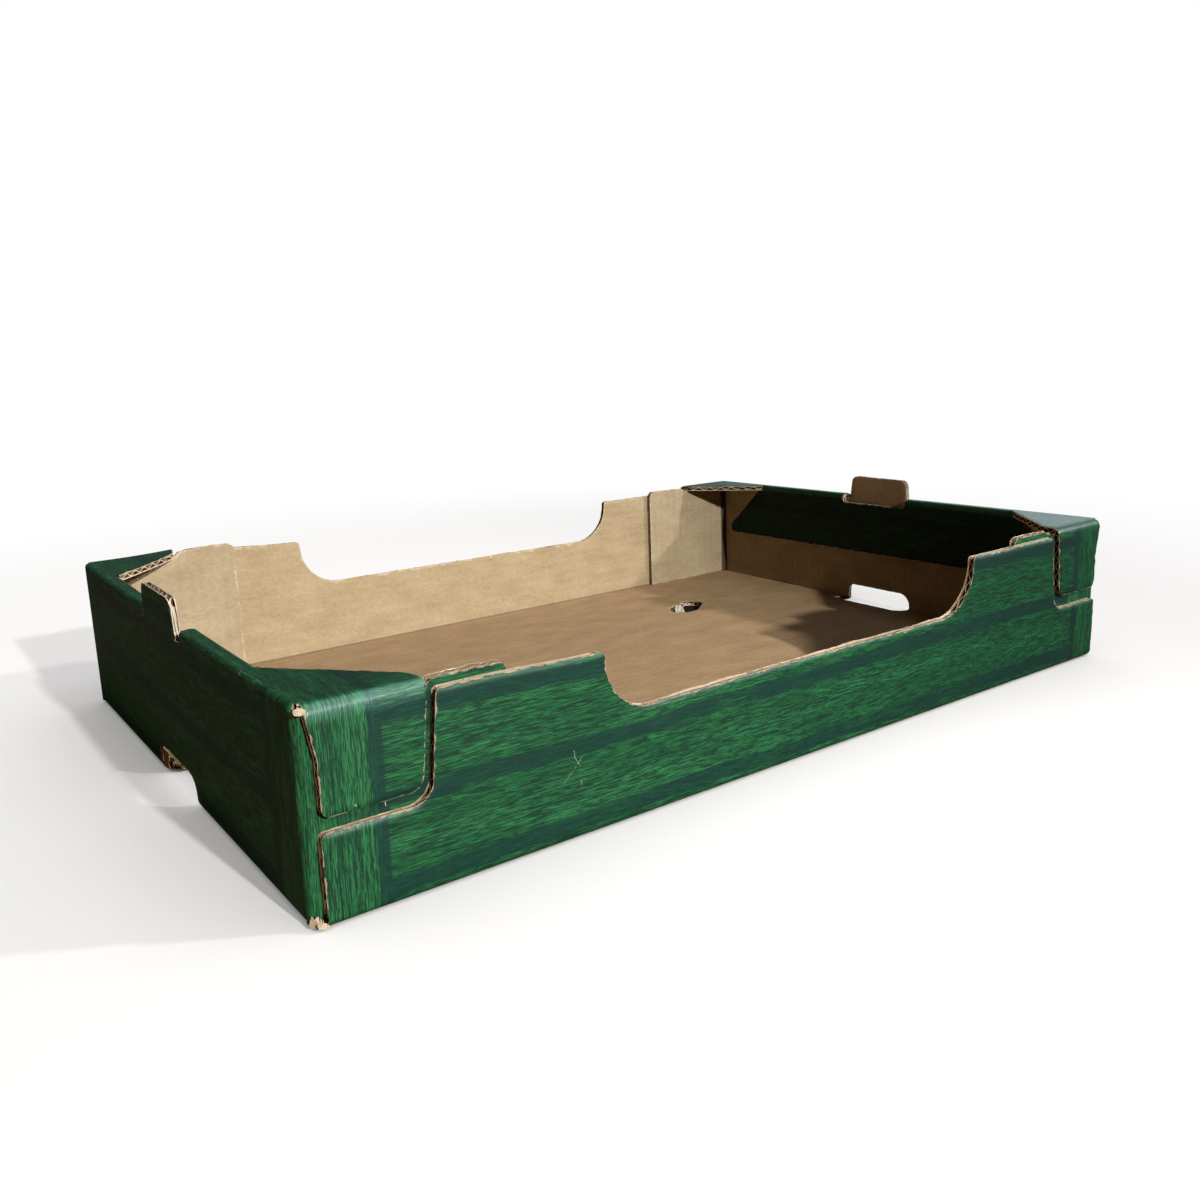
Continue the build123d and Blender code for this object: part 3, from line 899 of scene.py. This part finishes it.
half_end = [
    (36, wall_foot, 0, False), (190.6, wall_foot, 0, True), (190.6, 4.5, 0, True),
    (191.4, 4.5, 0, True), (191.4, 1.0, 0, True), (200.28, 1.0, 0, True), (200.28, 4.5, 0, True),
    (flap_end, 4.5, 0, True), (flap_end, 96.8, 5, True), (262, 96.8, 0, True), (256, 96, 0, True),
    (253.5, 94, 0, True),
    (195.0, 94, 0, True),
    (195.0, 100.2, 0, False), (133, 100.2, 0, False), (133, 104.0, 0, True), (139, 111.2, 0, True),
    (178, 148.7, 5, True), (178, 155.7, 4, True),
]
end_rows_v = [s[0] for s in end_profile if s[0] < 115]
end_rows_u = [s[0] for s in end_plan if 185 < abs(s[0]) < 205]


def tab_break(wide, narrow, foot):
    return [(-31 - wide, foot, 3, True), (-31, foot, 0, False), (-31, 91, 0, False),
            (31, 91, 0, True), (31 + narrow, 91, 0, True), (31 + narrow, 113.2, 3.5, True),
            (-31 - wide, 113.2, 4, True)]


stack_tab = [(-31, 91, 0, False), (31, 91, 0, True), (28.75, 113.5, 6, True),
             (-28.75, 113.5, 6, True)]
for side, turn, wide, foot, far in (("left", 1, 9.0, 91.4, 36.0), ("right", -1, 4.0, 97.6, 29.5)):
    notch = [(-36, wall_foot, 0, True), (-far, 2.5, 0, True), (-far, 16.5, far - 26, True),
             (36, 16.5, 10, True)]
    board_sheet(
        f"end_{side}", notch + half_end + mirrored(half_end, -1, 1)[:-1],
        turned(fold_end, turn, turn),
        across=lambda s: s[:, 0],
        to_print=lambda s: (s[:, 0] + end_print, s[:, 1], np.abs(np.abs(s[:, 0]) - 197)),
        holes=[tab_break(wide, 1.0, foot)], rows=(end_rows_u, end_rows_v), lift=end_lift,
    )
    board_sheet(
        f"stack_tab_{side}", stack_tab, turned(stand_tab, turn, turn),
        across=lambda s: s[:, 0],
        to_print=lambda s: (s[:, 0] + end_print, s[:, 1] - 15, 197 - np.abs(s[:, 0])),
        grid=6.0,
    )

# %% [markdown]
# ## Corner platforms with glue tabs
# Each platform is a slanted plate level with the rim, and its glue tab folds down over the
# corner flap. The tray above stands on these platforms. Four of them share one outline.

# %% Platforms
def platform_outline(tab_foot, far):
    return [
        (-292.5, tab_foot, 5, True), (-247.5 + far, tab_foot, 8, True), (-243 + far, 94, 0, True),
        (-243 + far, 98.5, 0, True), (-245.5 + far, 111.2, 3, True), (-290.2, 163.15, 0, False),
        (-297, 163.15, 0, False), (-297, 101.2, 0, True), (-296, 100.8, 0, True),
        (-296, 94, 0, True), (-292.5, 74, 0, True),
    ]


platform_rows = [s[0] for s in platform_section if 89 < s[0] < 105]
for name, sx, sy, foot, far in (
    ("front_left", 1, 1, 48.5, 1.6), ("front_right", -1, 1, 50.5, 0.0),
    ("back_left", 1, -1, 48.5, 2.6), ("back_right", -1, -1, 48.5, 0.0),
):
    board_sheet(
        f"platform_{name}", platform_outline(foot, far), turned(fold_platform, sx, sy),
        across=lambda s: s[:, 1],
        to_print=lambda s, sx=sx: (s[:, 0] * sx, s[:, 1], 300 + s[:, 0]),
        rows=((), platform_rows), grid=7.0,
    )

# %% [markdown]
# ## Torn board and other wear
# Board tears as wet paper does: the liner peels off and leaves a crumpled tongue with fibres at
# its edge. A tongue here is a small grid between a root line and an end, thrown about by a few
# slow waves and closed into a thin solid. One hangs in the vent hole, where it was punched, one
# in the left receptacle, which was never cleared, and one is crushed at the front left foot.

# %% Torn tongues
def tongue(name, root_a, root_b, reach, thick, crumple, top, below):
    """A crumpled tongue of torn paper between two root points, reach long, thick deep."""
    rows, columns = 15, 13
    s, t = np.meshgrid(np.linspace(0, 1, rows), np.linspace(0, 1, columns), indexing="ij")
    s, t = s.ravel(), t.ravel()
    root_a, root_b, reach = (np.array(v, float) for v in (root_a, root_b, reach))
    side = root_b - root_a
    normal = np.cross(side, reach)
    normal *= (1 if normal[2] > 0 else -1) / np.linalg.norm(normal)
    ends = 1 - 0.25 * rng.random() - 0.18 * np.abs(np.sin(t * 7 + rng.random() * 6)) ** 2
    spot = root_a + side * (t * (1 - 0.25 * s) + 0.1 * s)[:, None] + reach * (s * ends)[:, None]
    for size in (1.0, 0.6, 0.35):
        waves = rng.uniform(2, 5, 2) / size
        rise = np.sin(s * waves[0] + rng.random() * 6) * np.cos(t * waves[1] + rng.random() * 6)
        spot = spot + normal * (crumple * size * s * rise)[:, None]
    spot += rng.normal(0, 0.06, spot.shape)
    slim = (thick * (1 - 0.7 * s))[:, None] * normal
    grid = np.arange(rows * columns).reshape(rows, columns)
    faces = np.stack([grid[:-1, :-1], grid[:-1, 1:], grid[1:, 1:], grid[1:, :-1]], -1).reshape(-1, 4)
    rim_ids = np.concatenate([grid[:, 0], grid[-1, 1:], grid[::-1, -1][1:], grid[0, ::-1][1:]])
    flat = np.column_stack([t * np.linalg.norm(side), 300 + s * np.linalg.norm(reach)])
    rim_faces = np.column_stack([rim_ids[:-1], rim_ids[1:], rim_ids[1:] + len(s), rim_ids[:-1] + len(s)])
    none = np.zeros(len(s))
    return mesh_piece(
        name, [(spot, faces, top, flat, none), (spot - slim, faces[:, ::-1], below, flat, none),
               (np.concatenate([spot, spot - slim]), rim_faces, EDGE, np.tile(flat, (2, 1)),
                np.zeros(2 * len(s)))],
        to_print=lambda f: (f[:, 0], f[:, 1], f[:, 0] * 0 + 100), across=lambda f: f[:, 0],
    )


tongue("vent_scrap_a", (144, 93, 4.5), (151, 88, 4.5), (8, 11, 3.5), 1.0, 1.0, SCRAP, SCRAP)
tongue("vent_scrap_b", (146, 100, 4.4), (158, 110, 4.4), (19, -5, 4.2), 0.9, 1.5, SCRAP, MEDIUM)
tongue("vent_scrap_c", (157, 110.5, 4.4), (172, 117, 4.4), (5, -7, 3.0), 0.8, 1.6, SCRAP, MEDIUM)
tongue("foot_tear_a", (-299.5, -194.0, 0.9), (-295.4, -199.0, 0.9), (-0.2, -0.5, 6.4), 0.9, 0.4,
       SCRAP, EDGE)
tongue("foot_tear_b", (-297.6, -198.9, 1.2), (-292.6, -199.0, 0.9), (-1.5, -0.4, 3.4), 0.8, 0.3,
       SCRAP, EDGE)
tongue("receptacle_tear_a", (-298.6, 35.5, 14.0), (-298.6, 35.0, 1.0), (1.0, -11.5, -3.0), 1.2,
       1.0, MEDIUM, EDGE)
tongue("receptacle_tear_b", (-297.4, 35.0, 9.0), (-296.0, 33.0, 0.8), (2.0, -12.5, -1.5), 1.0,
       0.9, EDGE, MEDIUM)

# %% [markdown]
# Part of the floor's corner was left in the left receptacle too. It is a ragged flat piece,
# drawn with the same sheet function and a torn outline.

# %% Torn corner of the floor
board_sheet(
    "torn_floor_corner",
    [(-299.2, 36.5, 0, True), (-298.9, 32.5, 0, True), (-296.6, 27.7, 0, True),
     (-294.8, 23.3, 0, True), (-291.8, 21.0, 0, True), (-285.5, 24.0, 0, True),
     (-281.5, 27.0, 0, True), (-281.0, 36.5, 0, True)],
    lambda u, v, w: np.column_stack([u, v, 0.3 + w * 0.86]), across=lambda s: s[:, 1],
    to_print=lambda s: (s[:, 0], s[:, 1] * 0 - 40, 300 - np.abs(s[:, 0])), grid=4.0, torn=3.5,
)

# %% [markdown]
# Scratches and stuck fibres are thin paper slivers, so they are made as narrow strips that lie
# on the board. A strip's line is given by a few points, and it tapers towards both ends. One
# wider strip is the liner that peeled off at the front left end of the rim, and one is a paper
# thread that hangs over the left rim.

# %% Scratches, specks and loose fibres
def slivers(name, lines, kind):
    """Narrow tapering strips along lines, each with its width and the way it faces."""
    parts = []
    for line, wide, facing in lines:
        line, facing = np.array(line, float), np.array(facing, float)
        steps = np.linspace(0, len(line) - 1, 4 * len(line))
        path = np.column_stack([np.interp(steps, range(len(line)), line[:, k]) for k in range(3)])
        path[1:-1] += rng.normal(0, 0.08, (len(path) - 2, 3)) * (1 - np.abs(facing))
        run = np.gradient(path, axis=0)
        sideways = np.cross(run, facing)
        sideways /= np.linalg.norm(sideways, axis=1)[:, None]
        taper = (wide / 2 * np.sin(np.linspace(0.15, math.pi - 0.15, len(path))) ** 0.5)[:, None]
        spot = np.concatenate([path + sideways * taper, path - sideways * taper])
        ids = np.arange(len(path) - 1)
        faces = np.column_stack([ids, ids + 1, ids + 1 + len(path), ids + len(path)])
        parts.append((spot, faces, kind, spot[:, [0, 2]] + 300, np.zeros(len(spot))))
    return mesh_piece(name, parts, to_print=lambda f: (f[:, 0], f[:, 1], f[:, 0] * 0 + 100),
                      across=lambda f: f[:, 0])


front = (0, -1, 0)
slivers("rim_corner_tear", [
    ([(-300.0, -198.6, 96.3), (-298.0, -199.5, 96.5), (-295.2, -199.9, 96.1)], 3.2, (-0.25, -0.85, 0.45)),
], KRAFT)
slivers("front_scratches", [
    ([(-167.0, -200.1, 47.5), (-166.4, -200.1, 43.0), (-163.4, -200.1, 38.5)], 0.19, front),
    ([(-162.0, -200.1, 43.0), (-165.0, -200.1, 40.0), (-166.8, -200.1, 37.5)], 0.16, front),
    ([(-167.1, -200.1, 37.5), (-171.0, -200.1, 34.0), (-173.8, -200.1, 31.5)], 0.11, front),
    ([(-163.6, -200.1, 31.5), (-162.8, -200.1, 28.5)], 0.15, front),
    ([(-277.9, -200.1, 51.6), (-277.4, -200.1, 50.6)], 0.4, front),
    ([(-264.5, -200.1, 49.0), (-264.3, -200.1, 46.9)], 0.35, front),
], SCRAP)
slivers("inside_scuffs", [
    ([(295.3, 95.9, 30.4), (295.3, 95.4, 22.0), (295.3, 96.0, 15.9)], 1.6, (-1, 0, 0)),
    ([(295.3, 62.1, 28.6), (295.3, 61.9, 18.2)], 2.0, (-1, 0, 0)),
    ([(295.3, -72.0, 40.0), (295.3, -72.6, 29.1)], 1.8, (-1, 0, 0)),
    ([(187.3, 190.8, 34.0), (187.4, 190.8, 33.0)], 0.9, front),
    ([(188.2, 190.8, 21.4), (188.1, 190.8, 19.8)], 1.0, front),
], KRAFT)
threads = [([(-294.0, -129.0, 98.9), (-297.5, -133.0, 98.9), (-299.8, -135.5, 97.6),
             (-300.2, -133.5, 93.0), (-300.2, -131.0, 89.6)], 0.7, (-0.7, 0, 0.7))]
for k in range(110):
    u = rng.uniform(-236, 236)
    foot = 58.2 if abs(u) < 118 else 92.6
    if 118 <= abs(u) < 149:
        continue
    start = np.array([u, -199.4 + rng.uniform(0, 3.6), foot])
    lean = np.array([rng.normal(0, 0.9), rng.normal(-0.1, 0.25), rng.uniform(0.3, 1.1)])
    threads.append(([start, start + lean * 0.6, start + lean], rng.uniform(0.12, 0.25), front))
slivers("loose_fibres", threads, EDGE)

# %% [markdown]
# ## Floor and background
# A pale floor carries the shadow and fades to white further out. A little glow of its own, less
# where the tray shades it, keeps the open floor near white. Under the tray it is dark, so that
# the torn vent hole looks into shade, and to all but the camera's rays the floor is a plain dim
# brown, which keeps its bounce on the tray as low as in the photo.

# %% Stage
ground_mesh = bpy.data.meshes.new("ground")
ground_mesh.from_pydata([(-6, -6, 0), (6, -6, 0), (6, 6, 0), (-6, 6, 0)], [], [(0, 1, 2, 3)])
ground = bpy.data.objects.new("ground", ground_mesh)
bpy.context.scene.collection.objects.link(ground)
ground.location.z = -0.0004
paint, tree = new_material("pale_studio_floor")
rays = node(tree, "LightPath", out=None)
seen = node(tree, "Math", [rays["Is Camera Ray"], rays["Is Transmission Ray"]], operation="MAXIMUM")
spot = node(tree, "NewGeometry", out="Position")
far = node(tree, "VectorMath", [spot], "Value", operation="LENGTH")
far = node(tree, "MapRange", [far, 0.45, 1.1], **smooth)
open_sky = node(tree, "AmbientOcclusion", {"Distance": 0.16}, "AO", samples=8)
glow = node(tree, "MapRange", [open_sky, 0.0, 0.95, 0.0, 0.62])
under_x, under_y = 0.288, 0.188
beside = node(tree, "VectorMath", [spot, (1 / under_x, 1 / under_y, 0)], operation="MULTIPLY")
beside = node(tree, "VectorMath", [beside], operation="ABSOLUTE")
beside_x, beside_y, _ = node(tree, "SeparateXYZ", [beside], None)
beside = node(tree, "Math", [beside_x, beside_y], operation="MAXIMUM")
beside = node(tree, "Math", [beside, 1.0], operation="GREATER_THAN")
glow = node(tree, "Math", [glow, beside], operation="MULTIPLY")
shade = node(tree, "Mix", {0: beside, 6: linear("#2c2622"), 7: linear("#a39f9b")}, 2, **rgb)
plain = node(tree, "BsdfDiffuse", {"Color": shade})
dim = node(tree, "BsdfDiffuse", {"Color": linear("#554b41")})
lit = node(tree, "Emission", {"Color": (1, 1, 1, 1), "Strength": glow})
near = node(tree, "AddShader", [plain, lit])
white = node(tree, "Emission", {"Color": (1, 1, 1, 1), "Strength": 1.0})
shown = node(tree, "MixShader", [far, near, white])
mixed = node(tree, "MixShader", [seen, dim, shown])
node(tree, "OutputMaterial", [mixed], None)
ground_mesh.materials.append(paint)
print("floor at z =", ground.location.z, "m, its edge hidden in white from 1.1 m")

# %% [markdown]
# ## Lamps
# The photo shows one strong, small light in front: it throws the crisp shadow of the front side
# on the tray's floor. A second, weaker one at the right gives the fainter shadow beside it. A
# lamp overhead and one low at the left only lift the shadows, so the left end stays dark as in
# the photo.

# %% Lamps
def lamp(name, power, size, spot, aim, tint="#ffffff", cone=None):
    """A round soft lamp, or one whose light fades away outside a cone of so many degrees."""
    data = bpy.data.lights.new(name, "SPOT" if cone else "AREA")
    data.energy = power
    data.color = linear(tint)[:3]
    if cone:
        data.shadow_soft_size = size / 2
        data.spot_size = math.radians(cone)
        data.spot_blend = 1.0
    else:
        data.shape = "DISK"
        data.size = size
    made = bpy.data.objects.new(name, data)
    bpy.context.scene.collection.objects.link(made)
    made.location = spot
    made.rotation_euler = (Vector(aim) - Vector(spot)).to_track_quat("-Z", "Y").to_euler()
    print("lamp", name, power, "W")


lamp("key", 1160.0, 0.13, (0.10, -3.7, 1.72), (-0.13, 0, 0.05), "#fbffff", 18.5)
lamp("second", 84.0, 0.16, (2.07, -1.60, 1.50), (0, 0, 0.05), "#f4f6fa")
lamp("overhead", 8.0, 1.0, (0.98, -0.82, 2.38), (0, 0, 0), "#dcebff")
lamp("low_left", 6.5, 0.16, (-1.9, -0.5, 0.09), (-0.3, 0, 0.05), "#ffcfa8")

# %% [markdown]
# ## Room
# The room is dim and warm. Mirror-like rays alone see it brighter behind, at the right and
# above, as a window would be: that gives the glare on the right platform and on the front left
# fold. The camera sees white.

# %% Room
world = bpy.data.worlds.new("room")
bpy.context.scene.world = world
world.use_nodes = True
tree = world.node_tree
tree.nodes.clear()
rays = node(tree, "LightPath", out=None)
seen = node(tree, "Math", [rays["Is Camera Ray"], rays["Is Transmission Ray"]], operation="MAXIMUM")
direction = node(tree, "TexCoord", out="Generated")
toward_window = node(tree, "VectorMath", [direction, (0.892, 0.426, 0.152)], "Value",
                     operation="DOT_PRODUCT")
toward_top = node(tree, "VectorMath", [direction, (0.363, -0.305, 0.880)], "Value",
                  operation="DOT_PRODUCT")
to_left = node(tree, "SeparateXYZ", [direction])
strength = node(tree, "MapRange", [toward_window, -0.2, 0.97, 0.07, 0.09], **smooth)
sheen = node(tree, "MapRange", [toward_window, 0.90, 0.985, 0.14, 2.5], **smooth)
sheen = node(tree, "MapRange", [toward_top, 0.74, 0.95, sheen, 2.8], **smooth)
sheen = node(tree, "MapRange", [to_left, 0.05, -0.25, sheen, 0.10], **smooth)
strength = node(tree, "Mix", {0: rays["Is Glossy Ray"], 2: strength, 3: sheen})
tint = node(tree, "MapRange", [toward_window, -0.3, 0.7])
tint = node(tree, "Mix", {0: tint, 6: linear("#ffc896"), 7: linear("#ffe6cc")}, 2, **rgb)
tint = node(tree, "Mix", {0: rays["Is Glossy Ray"], 6: tint, 7: linear("#e2f6fa")}, 2, **rgb)
room = node(tree, "Background", {"Color": tint, "Strength": strength})
paper = node(tree, "Background", {"Color": (1, 1, 1, 1), "Strength": 1.0})
mixed = node(tree, "MixShader", [seen, room, paper])
node(tree, "OutputWorld", [mixed], None)
print("room nodes", len(tree.nodes))
bpy.context.scene.view_settings.view_transform = "Standard"
